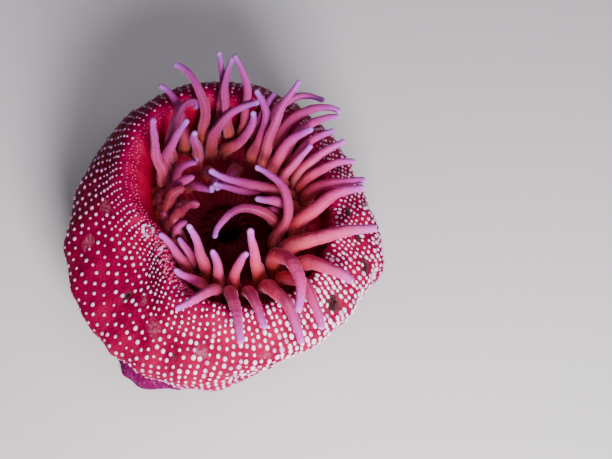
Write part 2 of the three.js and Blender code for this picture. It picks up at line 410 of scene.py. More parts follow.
bpy.ops.object.select_all(action="DESELECT")
bpy.ops.mesh.primitive_plane_add(size=1, location=(0, 0, 0))
body = bpy.context.object
body.name = "body_flesh"
bpy.ops.object.mode_set(mode="EDIT")
bpy.ops.mesh.merge(type="CENTER")
for (r0, z0), (r1, z1) in zip(trace, trace[1:]):
    bpy.ops.mesh.extrude_region_move(TRANSFORM_OT_translate={"value": (r1 - r0, 0, z1 - z0)})
bpy.ops.mesh.select_all(action="SELECT")
bpy.ops.mesh.spin(steps=SPOKES, angle=2 * math.pi, center=(0, 0, 0), axis=(0, 0, 1))
bpy.ops.mesh.select_all(action="SELECT")
bpy.ops.mesh.remove_doubles(threshold=0.01)
bpy.ops.mesh.normals_make_consistent(inside=False)
bpy.ops.object.mode_set(mode="OBJECT")

plain = np.empty(len(body.data.vertices) * 3)
body.data.vertices.foreach_get("co", plain)
plain = plain.reshape(-1, 3)
line_tree = tree_of([(radius, 0, height) for radius, height in dense])
body_lengths = np.array(
    [dense_length[line_tree.find((math.hypot(x, y), 0, z))[1]] for x, y, z in plain]
)
body_angles = np.arctan2(plain[:, 1], plain[:, 0])
body_facts = np.stack(
    [
        body_lengths / line_length,
        marks(body_angles, body_lengths, PITS),
        marks(body_angles, body_lengths, SLOUGH),
        crumpled(body_angles, np.hypot(plain[:, 0], plain[:, 1]), plain[:, 2]),
    ],
    axis=1,
)
shaped = shape_flesh(plain, body_lengths)
body.data.vertices.foreach_set("co", shaped.ravel())
body.data.update()


# ---------------------------------------------------------------------------------------------
# Tentacles: 54 hollow, blunt, tapering fingers in three cycles on the disc. Each follows the
# middles of its node's rings as one bevelled curve, flares where it leaves the disc, and is a
# little uneven along its length, as soft tissue is.

SIDES = 7
RINGS = 7
NODE_GAP = 1e-5
SPINE_STEPS = 400
STATION_STEP = 0.00075
LEAST_STATIONS = 14
TIP_STATIONS = 5
TIP_ROOM = 1.12
TIP_POINT = 0.012
KNOB = 0.12
KNOB_BACK = 1.3
KNOB_LENGTH = 1.1
ROOT_DEPTH = 0.0018
ROOT_SWELL = (1.12, 1.06)
FLARE = 0.28
FLARE_REACH = 0.0012
BEVEL_STEPS = 4
FACETS = 12
SAME_PLACE = 2e-6

# Waves of the uneven girth and of the bends along x, y and z, as (height, metres to a radian), and
# how strong they are in a plain finger and in a crumpled one.
GIRTH_WAVES = [(0.7, 0.00042), (1, 0.0011), (1, 0.0034)]
BEND_WAVES = [[(1, 0.0024), (1.3, 0.0055)], [(1, 0.0027), (1.3, 0.0050)], [(1, 0.0031)]]
WAVE_COUNT = len(GIRTH_WAVES) + sum(len(kinds) for kinds in BEND_WAVES)
UNEVEN_GIRTH = (0.028, 0.10)
UNEVEN_LINE = (0.00022, 0.00065)
FREE_SHARES = (0.08, 0.4)
CROOK_START = 0.8
CROOK_LENGTH = 0.2
CROOKED_TIP = (0.3, 1.5)
CRUMPLED_GIRTH = 0.35
CRUMPLED_WIDTH = 22

wobble = random.Random(11)


def pick(thing):
    """Selects this object alone and makes it active."""
    bpy.ops.object.select_all(action="DESELECT")
    bpy.context.view_layer.objects.active = thing
    thing.select_set(True)


def ring_walk(node):
    """Middles and radii of a tentacle node's rings from root to tip, and its two end points."""
    mesh = node.data.copy()
    copy = bpy.data.objects.new("ring_walk", mesh)
    bpy.context.scene.collection.objects.link(copy)
    pick(copy)
    bpy.ops.object.mode_set(mode="EDIT")
    bpy.ops.mesh.select_all(action="SELECT")
    bpy.ops.mesh.remove_doubles(threshold=NODE_GAP)
    bpy.ops.object.mode_set(mode="OBJECT")
    corners = [vertex.co.copy() for vertex in mesh.vertices]
    links = [set() for _ in corners]
    for edge in mesh.edges:
        one, other = edge.vertices
        links[one].add(other)
        links[other].add(one)
    bpy.data.objects.remove(copy)
    bpy.data.meshes.remove(mesh)

    walks = []
    for pole in range(len(corners)):
        seen = {pole}
        rings = [[pole]]
        while rings[-1]:
            rings.append(sorted({k for corner in rings[-1] for k in links[corner]} - seen))
            seen.update(rings[-1])
        rings.pop()
        if [len(ring) for ring in rings[1:-1]] == [SIDES] * RINGS and len(rings[-1]) == 1:
            middles = [sum((corners[k] for k in ring), Vector()) / len(ring) for ring in rings]
            radii = [
                sum((corners[k] - middle).length for k in ring) / len(ring)
                for ring, middle in zip(rings, middles)
            ]
            walks.append((middles, radii))
    # Both poles walk through the same rings, and the root is the pole next to the thicker end.
    return max(walks, key=lambda walk: walk[1][1])


def waves(stations, kinds, phases):
    """The sum of these waves at the stations. Each takes the next phase."""
    total = 0
    for (height, pace), phase in zip(kinds, phases):
        total = total + height * np.sin(stations / pace + phase)
    return total


tentacle_names = sorted(name for name in frame["nodes"] if name.startswith("tentacle_"))
tentacle_curve = bpy.data.curves.new("tentacles", "CURVE")
tentacle_curve.dimensions = "3D"
tentacle_curve.bevel_depth = 1
tentacle_curve.bevel_resolution = BEVEL_STEPS
tentacle_curve.use_fill_caps = True

spine_points = []
spine_facts = []
crumples = []
for number, name in enumerate(tentacle_names):
    middles, radii = ring_walk(frame["nodes"][name])
    # The first ring lies round the root point, so the two count once.
    knots = np.array([middles[0]] + middles[2:])
    knot_radii = np.array([radii[1]] + radii[2:-1] + [radii[-2]])
    knot_shares = np.linspace(0, len(knots) - 1, SPINE_STEPS)
    dense_spine = smooth_line(knots, knot_shares)
    run = np.concatenate([[0], np.cumsum(np.linalg.norm(np.diff(dense_spine, axis=0), axis=1))])
    length = run[-1]
    knot_run = np.interp(np.arange(len(knots)), knot_shares, run)
    tip_radius = knot_radii[-2] * TIP_ROOM
    station_count = max(LEAST_STATIONS, round(length / STATION_STEP))
    even = np.linspace(0, length - tip_radius, station_count)
    quarter = np.linspace(0, 0.5 * math.pi, TIP_STATIONS + 1)[1:]
    round_end = length - tip_radius + tip_radius * np.sin(quarter)
    stations = np.concatenate([even, round_end])
    places = np.stack([np.interp(stations, run, dense_spine[:, k]) for k in range(3)], axis=1)
    girths = np.maximum(np.interp(stations, knot_run, knot_radii), tip_radius)

    # Soft unevenness: small bends and swellings, strongest in the crumpled fingers on the left.
    base = places[0] / MM - (*CROWN_SHIFT, 0)
    crumple = float(lobe(math.atan2(base[1], base[0]), CRUMPLED_AT, CRUMPLED_WIDTH))
    crumples.append(crumple)
    phases = iter([wobble.uniform(0, 6.28) for _ in range(WAVE_COUNT)])
    uneven = waves(stations, GIRTH_WAVES, phases)
    girths = girths * (1 + CRUMPLED_GIRTH * crumple) * (1 + mix(*UNEVEN_GIRTH, crumple) * uneven)
    free = smoothstep(stations / length, *FREE_SHARES)[:, None]
    bends = np.stack([waves(stations, kinds, phases) for kinds in BEND_WAVES], axis=1)
    places = places + mix(*UNEVEN_LINE, crumple) * free * bends
    crook = np.clip((stations / length - CROOK_START) / CROOK_LENGTH, 0, 1)[:, None] ** 2
    aside = Vector([wobble.uniform(-1, 1) for _ in range(3)]).normalized()
    places = places + wobble.uniform(*CROOKED_TIP) * MM * crook * np.array(aside)

    # A faint knob before the rounded tip, and a flare at the root.
    knob = (stations - (length - KNOB_BACK * tip_radius)) / (KNOB_LENGTH * tip_radius)
    girths = girths * (1 + KNOB * np.exp(-(knob ** 2)))
    past = np.clip((stations - (length - tip_radius)) / tip_radius, 0, 1)
    girths = girths * np.sqrt(np.maximum(1 - past ** 2, TIP_POINT))
    girths = girths * (1 + FLARE * np.exp(-((stations / FLARE_REACH) ** 2)))

    # The root goes down into the disc, so that the two grow together.
    root_direction = (places[1] - places[0]) / np.linalg.norm(places[1] - places[0])
    sunk = [places[0] - root_direction * ROOT_DEPTH * share for share in (1, 0.5)]
    places = np.vstack([sunk, places])
    girths = np.concatenate([[girths[0] * swell for swell in ROOT_SWELL], girths])
    shares = np.concatenate([[0, 0], stations / length])

    spline = tentacle_curve.splines.new("POLY")
    spline.points.add(len(places) - 1)
    for point, place, girth, share in zip(spline.points, places, girths, shares):
        point.co = (*place, 1)
        point.radius = girth
        spine_points.append(place)
        spine_facts.append((share, number))

tentacles = bpy.data.objects.new("tentacles", tentacle_curve)
bpy.context.scene.collection.objects.link(tentacles)
pick(tentacles)
bpy.ops.object.convert(target="MESH")
tentacles = bpy.context.object
facet_layer = tentacles.data.attributes.new("facet", "INT", "POINT")
facet_layer.data.foreach_set("value", [k % FACETS for k in range(len(tentacles.data.vertices))])
bpy.ops.object.mode_set(mode="EDIT")
bpy.ops.mesh.select_all(action="SELECT")
bpy.ops.mesh.remove_doubles(threshold=SAME_PLACE)
bpy.ops.mesh.normals_make_consistent(inside=False)
bpy.ops.object.mode_set(mode="OBJECT")


# ---------------------------------------------------------------------------------------------
# Skin: body and tentacles grown together into one closed surface, smoothed where a tentacle
# leaves the disc. It carries, at each point, how far along the body or a tentacle that point is.

CREASE_WIDTH = 2
CREASE_ROUNDS = 5
SLIVER = 0.00035
CLOSING_ROUNDS = 3
CORAL_AT = -42
CORAL_WIDTH = 72
CORAL_REACH = 0.025
CRUMPLED_CORAL = 0.6

# Painted shade: the flesh is painted darker and duller where shade falls. How strong it is round the
# roots, on the back left of the column, in the hollow of the crown, in crumpled fingers and in the
# fingers at the back.
ROOT_PAINTED_SHADE = 0.5
COLUMN_PAINTED_SHADE = 0.75
HOLLOW_PAINTED_SHADE = 0.45
CRUMPLED_PAINTED_SHADE = 0.9
BACK_PAINTED_SHADE = 0.55
COLUMN_SHADE_AT = 145
COLUMN_SHADE_WIDTH = 55
HOLLOW_MIDDLE = (-5, 3)
HOLLOW_EDGE = (13, 27)
HOLLOW_TOP = (58, 76)
BACK_SLANT = 0.5
BACK_DEPTH = (0, 45)

spine_tree = tree_of(spine_points)
source_places = [vertex.co.copy() for vertex in body.data.vertices]
body_count = len(source_places)
source_places += [vertex.co.copy() for vertex in tentacles.data.vertices]
source_facts = [(*facts, 0.0, -1) for facts in body_facts]
streaks = [[wobble.random() for _ in range(FACETS)] for _ in tentacle_names]
facets = [value.value for value in tentacles.data.attributes["facet"].data]
for place, facet in zip(source_places[body_count:], facets):
    share, number = spine_facts[spine_tree.find(place)[1]]
    source_facts.append((0.0, 0.0, 0.0, share, streaks[number][facet], number))
source_tree = tree_of(source_places)

pick(body)
join = body.modifiers.new("grown_together", "BOOLEAN")
join.operation = "UNION"
join.solver = "MANIFOLD"
join.object = tentacles
bpy.ops.object.modifier_apply(modifier=join.name)
bpy.data.objects.remove(tentacles)
skin = body
skin.name = "anemone_skin"
skin.data.name = "anemone_skin"

# The vertices that neither the body nor a tentacle had lie on the creases round the roots.
for vertex in skin.data.vertices:
    vertex.select = source_tree.find(vertex.co)[2] > SAME_PLACE
for edge in skin.data.edges:
    edge.select = False
for face in skin.data.polygons:
    face.select = False
bpy.ops.object.mode_set(mode="EDIT")
bpy.ops.mesh.select_mode(type="VERT")
for _ in range(CREASE_WIDTH):
    bpy.ops.mesh.select_more()
bpy.ops.mesh.vertices_smooth(factor=0.5, repeat=CREASE_ROUNDS)
bpy.ops.mesh.select_all(action="SELECT")
bpy.ops.mesh.quads_convert_to_tris()

# Slivers that came out crossed along a crease are drawn together, and the surface closed again.
for _ in range(CLOSING_ROUNDS):
    bpy.ops.mesh.select_all(action="DESELECT")
    bpy.ops.mesh.select_non_manifold()
    bpy.ops.mesh.remove_doubles(threshold=SLIVER)
    bpy.ops.mesh.select_all(action="DESELECT")
    bpy.ops.mesh.select_non_manifold()
    bpy.ops.mesh.fill_holes(sides=0)
bpy.ops.mesh.select_all(action="DESELECT")

# What isn't grown together with the sole is a bubble inside the flesh, and is taken out.
bpy.ops.object.mode_set(mode="OBJECT")
min(skin.data.vertices, key=lambda vertex: vertex.co.z).select = True
bpy.ops.object.mode_set(mode="EDIT")
bpy.ops.mesh.select_linked()
bpy.ops.mesh.select_all(action="INVERT")
bpy.ops.mesh.delete(type="VERT")
bpy.ops.mesh.select_all(action="SELECT")
bpy.ops.mesh.quads_convert_to_tris()
bpy.ops.mesh.normals_make_consistent(inside=False)
bpy.ops.mesh.faces_shade_smooth()
bpy.ops.object.mode_set(mode="OBJECT")

# Tentacles on the right and in front are coral, the others pink to lilac.
coral_of = []
for name, crumple in zip(tentacle_names, crumples):
    low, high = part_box(name)
    middle = (Vector(low) + Vector(high)) / 2 - MM * Vector((*CROWN_SHIFT, 0))
    outward = min(1, math.hypot(middle.x, middle.y) / CORAL_REACH)
    coral = float(lobe(math.atan2(middle.y, middle.x), CORAL_AT, CORAL_WIDTH)) * outward ** 2
    coral_of.append(max(coral, CRUMPLED_CORAL * crumple))


def carry(mesh, name, values):
    """Gives each vertex of the mesh a number under that name."""
    layer = mesh.attributes.new(name, "FLOAT", "POINT")
    layer.data.foreach_set("value", values)


mesh = skin.data
disc_zone = zone_at(DISC[0])
column_zone = zone_at(COLUMN_SIDE[-2])
crest_zone = zone_at(COLLAR_CREST[-1])
skin_facts = []
for vertex in mesh.vertices:
    zone, pit, slough, share, streak, number = source_facts[source_tree.find(vertex.co)[1]]
    if number < 0:
        # On the body, share says how crumpled the flesh is.
        grown = float(smoothstep(share, 0.15, 0.6))
        x, y, _ = vertex.co
        shaded = lobe(math.atan2(y, x), COLUMN_SHADE_AT, COLUMN_SHADE_WIDTH)
        outer = 1 - smoothstep(zone, column_zone, crest_zone)
        # Painted shade on the body: on the crumpled flesh round the roots, and on the back left of the
        # column.
        painted_shade = max(ROOT_PAINTED_SHADE * grown, COLUMN_PAINTED_SHADE * outer * shaded)
        skin_facts.append((zone, pit, slough, grown, 0.1 + 0.4 * share, 0.4, 0.5, painted_shade))
    else:
        x, y, z = vertex.co / MM - Vector((*CROWN_SHIFT, 0))
        crumple = crumples[int(number)]
        aside = math.hypot(x - HOLLOW_MIDDLE[0], y - HOLLOW_MIDDLE[1])
        inner = (1 - smoothstep(aside, *HOLLOW_EDGE)) * (1 - smoothstep(z, *HOLLOW_TOP))
        back = smoothstep(y - BACK_SLANT * x, *BACK_DEPTH)
        # Painted shade on the fingers: in the hollow of the crown, in crumpled fingers and in the fingers
        # at the back.
        painted_shade = max(HOLLOW_PAINTED_SHADE * inner, CRUMPLED_PAINTED_SHADE * crumple, BACK_PAINTED_SHADE * back)
        share = share * (1 - 0.5 * crumple)
        skin_facts.append((disc_zone, 0, 0, 1, share, coral_of[number], streak, painted_shade))
skin_facts = np.array(skin_facts)
fact_names = ("zone", "pit", "slough", "finger", "share", "coral", "streak", "painted_shade")
for column, name in enumerate(fact_names):
    carry(mesh, name, skin_facts[:, column])


def ramp(nodes, stops):
    """A colour ramp node with these (position, colour) stops."""
    node = nodes.new("ShaderNodeValToRGB")
    element = node.color_ramp.elements
    element[0].position, element[0].color = stops[0][0], (*stops[0][1], 1)
    element[1].position, element[1].color = stops[-1][0], (*stops[-1][1], 1)
    for position, colour in stops[1:-1]:
        element.new(position).color = (*colour, 1)
    return node


def blend(nodes, links, kind, factor, first, second):
    """A colour mix node. factor, first and second are sockets or plain values."""
    node = nodes.new("ShaderNodeMix")
    node.data_type = "RGBA"
    node.blend_type = kind
    for socket, value in ((node.inputs[0], factor), (node.inputs[6], first), (node.inputs[7], second)):
        if isinstance(value, bpy.types.NodeSocket):
            links.new(value, socket)
        else:
            socket.default_value = value
    return node.outputs[2]


def raise_grain(nodes, links, grain, strength, depth):
    """Stands the grain out as relief on the material's shader."""
    bump = nodes.new("ShaderNodeBump")
    bump.inputs["Strength"].default_value = strength
    bump.inputs["Distance"].default_value = depth
    links.new(grain, bump.inputs["Height"])
    links.new(bump.outputs["Normal"], nodes["Principled BSDF"].inputs["Normal"])


def mottle_group():
    """Cloudy unevenness of live tissue: a mask of large clouds, and a fine relief."""
    group = bpy.data.node_groups.new("tissue_mottle", "ShaderNodeTree")
    group.interface.new_socket("Cloud Scale", in_out="INPUT", socket_type="NodeSocketFloat")
    group.interface.new_socket("Grain Scale", in_out="INPUT", socket_type="NodeSocketFloat")
    group.interface.new_socket("Clouds", in_out="OUTPUT", socket_type="NodeSocketFloat")
    group.interface.new_socket("Grain", in_out="OUTPUT", socket_type="NodeSocketFloat")
    nodes, links = group.nodes, group.links
    start = nodes.new("NodeGroupInput")
    end = nodes.new("NodeGroupOutput")
    place = nodes.new("ShaderNodeTexCoord")
    for scale, output, detail in (("Cloud Scale", "Clouds", 3), ("Grain Scale", "Grain", 2)):
        texture = nodes.new("ShaderNodeTexNoise")
        texture.inputs["Detail"].default_value = detail
        texture.inputs["Roughness"].default_value = 0.55
        links.new(place.outputs["Object"], texture.inputs["Vector"])
        links.new(start.outputs[scale], texture.inputs["Scale"])
        links.new(texture.outputs["Fac"], end.inputs[output])
    return group


tissue_mottle = mottle_group()

FLESH_CLOUDS = 130
FLESH_GRAIN = 900
FLESH_RELIEF = 0.0006
FLESH_IOR = 1.36
RED_BLEED = (1.0, 0.25, 0.3)
BLEED_DEPTH = 0.0025
SHEEN_PINK = (1.0, 0.32, 0.70, 1)

# Colours of the body from sole to throat, and of the two kinds of finger from root to tip.
BODY_COLOURS = [
    (0.0, (0.05, 0.003, 0.05)),
    (zone_at(FOOT_EDGE[0]), (0.20, 0.004, 0.10)),
    (zone_at(FOOT_EDGE[-1]), (0.21, 0.001, 0.06)),
    (zone_at(COLUMN_SIDE[3]), (0.34, 0.0, 0.054)),
    (zone_at(COLUMN_SIDE[-1]), (0.34, 0.0, 0.050)),
    (zone_at(COLLAR_CREST[2]), (0.36, 0.0, 0.066)),
    (zone_at(COLLAR_FACE[0]), (0.38, 0.0, 0.034)),
    # Down the collar's face, over the disc and into the throat the colours darken to near black: painted
    # shade in the hollow of the crown, over the disc's own maroon.
    (zone_at(COLLAR_FACE[-1]), (0.22, 0.001, 0.012)),
    (zone_at(DISC[0]), (0.20, 0.006, 0.022)),
    (zone_at(DISC[3]), (0.11, 0.003, 0.012)),
    (1.0, (0.006, 0.0001, 0.001)),
]
LILAC_FINGER = [
    (0.0, (0.20, 0.016, 0.020)),
    (0.05, (0.32, 0.050, 0.036)),
    (0.12, (0.34, 0.056, 0.048)),
    (0.35, (0.40, 0.036, 0.14)),
    (0.65, (0.42, 0.038, 0.27)),
    (0.86, (0.42, 0.056, 0.42)),
    (0.95, (0.42, 0.10, 0.66)),
    (1.0, (0.60, 0.25, 0.84)),
]
CORAL_FINGER = [
    (0.0, (0.24, 0.016, 0.018)),
    (0.05, (0.42, 0.042, 0.026)),
    (0.15, (0.52, 0.044, 0.036)),
    (0.4, (0.62, 0.044, 0.095)),
    (0.75, (0.62, 0.048, 0.24)),
    (0.95, (0.56, 0.080, 0.46)),
    (1.0, (0.70, 0.20, 0.64)),
]
CLOUDED_BODY = (0.55, 0.45, 0.55, 1)
SHADED_BODY = (0.5, 0.4, 0.4, 1)
FOOT_FLECKS = (0.30, 0.06, 0.26, 1)
SHED_SKIN = (0.33, 0.08, 0.15, 1)
SCAR_BROWN = (0.10, 0.035, 0.04, 1)
PAINTED_PIT_SHADE = (0.014, 0.004, 0.008, 1)
CLOUDED_FINGER = (0.8, 0.72, 0.8, 1)
SHADED_FINGER = (0.42, 0.48, 0.34, 1)
PALE_STREAK = (0.80, 0.22, 0.42, 1)


def flesh_material(name, roughness, subsurface, sheen, specular):
    """Wet, slightly translucent flesh: crimson column, scarlet collar, disc dark with painted shade, pink
    fingers.
    """
    material = bpy.data.materials.new(name)
    material.use_nodes = True
    nodes, links = material.node_tree.nodes, material.node_tree.links
    shader = nodes["Principled BSDF"]

    def attribute(name):
        node = nodes.new("ShaderNodeAttribute")
        node.attribute_name = name
        return node.outputs["Fac"]

    def stretch(value, low, high, start=0.0, end=1.0):
        node = nodes.new("ShaderNodeMapRange")
        for socket, number in zip(node.inputs[1:5], (low, high, start, end)):
            socket.default_value = number
        links.new(value, node.inputs["Value"])
        return node.outputs[0]

    def times(first, second):
        node = nodes.new("ShaderNodeMath")
        node.operation = "MULTIPLY"
        links.new(first, node.inputs[0])
        links.new(second, node.inputs[1])
        return node.outputs[0]

    def ramped(value, stops):
        node = ramp(nodes, stops)
        links.new(value, node.inputs["Fac"])
        return node.outputs["Color"]

    def stained(colour, mask, stain):
        return blend(nodes, links, "MULTIPLY", mask, colour, stain)

    def covered(colour, mask, cover):
        return blend(nodes, links, "MIX", mask, colour, cover)

    mottle = nodes.new("ShaderNodeGroup")
    mottle.node_tree = tissue_mottle
    mottle.inputs["Cloud Scale"].default_value = FLESH_CLOUDS
    mottle.inputs["Grain Scale"].default_value = FLESH_GRAIN
    clouds = stretch(mottle.outputs["Clouds"], 0.35, 0.7)
    grain = mottle.outputs["Grain"]
    painted_shade = attribute("painted_shade")

    # The body: clouded, darkened by painted shade, flecked on the foot, with shed skin and healed pits.
    body_colour = ramped(attribute("zone"), BODY_COLOURS)
    body_colour = stained(body_colour, clouds, CLOUDED_BODY)
    body_colour = stained(body_colour, painted_shade, SHADED_BODY)
    on_foot = stretch(attribute("zone"), zone_at(COLUMN_SIDE[0]), zone_at(FOOT_EDGE[2]))
    flecked = times(on_foot, stretch(grain, 0.48, 0.7, 0.0, 0.5))
    body_colour = covered(body_colour, flecked, FOOT_FLECKS)
    shed = times(stretch(attribute("slough"), 0.2, 0.7), stretch(grain, 0.42, 0.58, 0.1, 0.9))
    body_colour = covered(body_colour, shed, SHED_SKIN)
    scar = stretch(attribute("pit"), 0.05, 0.4, 0.0, 0.9)
    body_colour = covered(body_colour, scar, SCAR_BROWN)
    # The black in the middle of each pit is painted shade in the dent. The brown round it is the scar's
    # own colour.
    pit_shade = times(stretch(attribute("pit"), 0.4, 0.95), stretch(grain, 0.4, 0.54, 0.2, 1.0))
    body_colour = covered(body_colour, pit_shade, PAINTED_PIT_SHADE)

    # The fingers: lilac or coral, darkened by painted shade, with a few pale streaks down them.
    share = attribute("share")
    finger_colour = covered(ramped(share, LILAC_FINGER), attribute("coral"), ramped(share, CORAL_FINGER))
    finger_colour = stained(finger_colour, clouds, CLOUDED_FINGER)
    finger_colour = stained(finger_colour, painted_shade, SHADED_FINGER)
    streaked = stretch(attribute("streak"), 0.55, 0.95, 0.0, 0.25)
    finger_colour = covered(finger_colour, streaked, PALE_STREAK)
    colour = covered(body_colour, attribute("finger"), finger_colour)
    links.new(colour, shader.inputs["Base Color"])

    raise_grain(nodes, links, grain, strength=0.6, depth=FLESH_RELIEF)
    gloss = stretch(mottle.outputs["Clouds"], 0.0, 1.0, roughness - 0.1, roughness + 0.14)
    links.new(gloss, shader.inputs["Roughness"])

    shader.inputs["Subsurface Weight"].default_value = subsurface
    shader.inputs["Subsurface Radius"].default_value = RED_BLEED
    shader.inputs["Subsurface Scale"].default_value = BLEED_DEPTH
    shader.inputs["Specular IOR Level"].default_value = specular
    shader.inputs["IOR"].default_value = FLESH_IOR
    shader.inputs["Sheen Weight"].default_value = sheen
    shader.inputs["Sheen Roughness"].default_value = 0.24
    shader.inputs["Sheen Tint"].default_value = SHEEN_PINK
    return material


skin.data.materials.clear()
for material in (
    flesh_material("column_flesh", roughness=0.42, subsurface=0.2, sheen=0.0, specular=0.02),
    flesh_material("tentacle_flesh", roughness=0.45, subsurface=0.45, sheen=0.40, specular=0.10),
    flesh_material("disc_flesh", roughness=0.6, subsurface=0.1, sheen=0.0, specular=0.05),
):
    skin.data.materials.append(material)

# Each triangle of the skin takes the flesh that its middle lies on.
corners = np.empty(3 * len(mesh.polygons), np.int32)
mesh.loops.foreach_get("vertex_index", corners)
middles = skin_facts[corners.reshape(-1, 3)].mean(axis=1)
on_finger = middles[:, fact_names.index("finger")] > 0.5
on_disc = middles[:, fact_names.index("zone")] > zone_at(FOSSE[0])
flesh_kind = np.where(on_finger, 1, np.where(on_disc, 2, 0))
mesh.polygons.foreach_set("material_index", flesh_kind.astype(np.int32))
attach(skin, "root")
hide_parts(*frame["nodes"])


# ---------------------------------------------------------------------------------------------
# Verrucae: small, wet, cream-white adhesive warts in upright rows all over the column, smaller
# and closer together towards the collar's edge. One low dome is modelled and repeated, each one
# standing square to the flesh under it.

ROWS = 118
CROWDING = 0.24
CROWDED_AT = 305
CROWDED_WIDTH = 45
ROW_START_SWAY = 1.6
EDGE_BAND = (24, 2)
WART_SIDES = 8
WART_RINGS = 6
WART_RADIUS = 0.88
WART_HEIGHT = 0.68
WART_SKIRT = 0.1
WART_GRAIN = 2500
WART_RELIEF = 0.0001
PROBE_LENGTH = 0.4
PROBE_ANGLE = 0.006
PATCH_RADIUS = 0.0015

# Sizes, and steps up a row in mm, on the belly and at the collar's edge, each as (in general, where
# the rows crowd). Three sizes follow one another up a row.
BELLY_SIZES = (0.98, 1.10)
EDGE_SIZES = (0.62, 0.84)
BELLY_STEPS = (3.2, 3.0)
EDGE_STEPS = (2.1, 2.0)
SIZE_BEAT = (1.0, 0.86, 0.68)
# Painted light and shade on the warts: whiter on the lit side, duller and more violet on the shaded side
# and low on the column. A share of warts is dull at random, as their own colour.
SHADE_TONE = 0.28
LIT_AT = 285
LIT_WIDTH = 72
DULL_SHARE = 0.16

# How far the rows spread over the crest, or stop short of it, as (mm, direction, width in degrees).
FRONT_SPREAD = (3, 305, 50)
LEFT_SPREAD = (0.4, 165, 45)
PINCHED_SPREAD = (-4, 224, 20)

# The torn fold: a ring of warts with a gap in it, in mm round the place at this angle and length.
TORN_WARTS = 22
TORN_RING = 27
TORN_AT = math.radians(205)
TORN_LENGTH = 121
TORN_START = 0.7
TORN_HALF_WIDTH = 2.2
TORN_HALF_HEIGHT = 2.5
TORN_SIZES = (0.4, 0.55, 0.75, 0.9)

bpy.ops.object.select_all(action="DESELECT")
bpy.ops.mesh.primitive_uv_sphere_add(
    segments=WART_SIDES, ring_count=WART_RINGS, radius=1, location=(0, 0, 0)
)
wart = bpy.context.object
wart.name = "wart"
bpy.ops.object.mode_set(mode="EDIT")
bpy.ops.mesh.select_all(action="SELECT")
bpy.ops.mesh.bisect(plane_co=(0, 0, -WART_SKIRT), plane_no=(0, 0, 1), clear_inner=True, use_fill=True)
bpy.ops.mesh.select_all(action="SELECT")
bpy.ops.mesh.quads_convert_to_tris()
bpy.ops.object.mode_set(mode="OBJECT")
wart_corners = np.array([vertex.co for vertex in wart.data.vertices])
wart_faces = np.array([face.vertices for face in wart.data.polygons])
bpy.data.objects.remove(wart)

scatter = random.Random(5)
row_start = length_at(FOOT_EDGE[-1]) + 1.5
belly_start = length_at(COLUMN_SIDE[3])
belly_end = length_at(COLUMN_SIDE[5])


def row_end(turn):
    """Where the rows of warts stop: past the crest in front, short of it where it is pinched."""
    gain = swollen(0, turn, [FRONT_SPREAD, LEFT_SPREAD, PINCHED_SPREAD])
    return length_at(COLLAR_CREST[2]) - 0.3 + float(gain)


def wart_row(turn, start):
    """The warts of one upright row, as (angle, length along the section, size, stretch, tone)."""
    row = []
    end = row_end(turn)
    at = start + ROW_START_SWAY * math.sin(5 * turn) + scatter.uniform(-0.5, 0.5)
    bright = float(lobe(turn, CROWDED_AT, CROWDED_WIDTH))
    lit = float(lobe(turn, LIT_AT, LIT_WIDTH))
    number = scatter.randrange(len(SIZE_BEAT))
    while at < end:
        near_edge = float(smoothstep(at, end - EDGE_BAND[0], end - EDGE_BAND[1]))
        low = float(1 - smoothstep(at, belly_start, belly_end))
        size = mix(mix(*BELLY_SIZES, bright), mix(*EDGE_SIZES, bright), near_edge) * (1 - 0.2 * low)
        size = size * SIZE_BEAT[number % len(SIZE_BEAT)] * scatter.uniform(0.88, 1.12)
        step = mix(mix(*BELLY_STEPS, bright), mix(*EDGE_STEPS, bright), near_edge)
        sway = 0.2 * math.sin(at / 6 + 3 * turn) + scatter.uniform(-0.13, 0.13)
        # The tone is painted light and shade: high on the lit side, low on the shaded side, and lowered
        # further down the column.
        tone = mix(SHADE_TONE, 1.0, lit) * scatter.uniform(0.9, 1.0)
        if scatter.random() < DULL_SHARE:
            tone = scatter.uniform(0.2, 0.5)
        angle = turn + sway * 2 * math.pi / ROWS
        row.append((angle, at, size, scatter.uniform(1.0, 1.2) + 0.5 * bright, tone * (1 - 0.6 * low)))
        at += step * scatter.uniform(0.82, 1.18)
        number += scatter.choice((1, 1, 2))
    return row


warts = []
for row in range(ROWS):
    turn = 2 * math.pi * (row + scatter.uniform(-0.08, 0.08)) / ROWS
    turn -= CROWDING * math.sin(turn - math.radians(CROWDED_AT))
    warts += wart_row(turn, row_start)

# A torn fold of pale skin stands in a broken ring where the frill begins.
for k in range(TORN_WARTS):
    turned = 2 * math.pi * k / TORN_RING + TORN_START + scatter.uniform(-0.1, 0.1)
    stray = scatter.uniform(0.8, 1.25)
    aside = TORN_HALF_WIDTH * stray * math.cos(turned) / COLLAR_RADIUS
    size = scatter.choice(TORN_SIZES)
    along = TORN_LENGTH + TORN_HALF_HEIGHT * stray * math.sin(turned)
    shape = (size, scatter.uniform(0.8, 1.5), scatter.uniform(0.15, 0.6))
    warts.append((TORN_AT + aside, along, *shape))
warts = np.array(warts)

# No wart stands in a pit or on shed skin.
pitted = marks(warts[:, 0], warts[:, 1], PITS)
shed = marks(warts[:, 0], warts[:, 1], SLOUGH)
warts = warts[np.maximum(pitted, shed) < 0.5]


def flesh_at(angles, lengths):
    """Points of the uneven body at those directions and lengths along the section."""
    radius, height = on_line(lengths).T
    round_points = np.stack([radius * np.cos(angles), radius * np.sin(angles), height], axis=1)
    return shape_flesh(round_points, lengths)


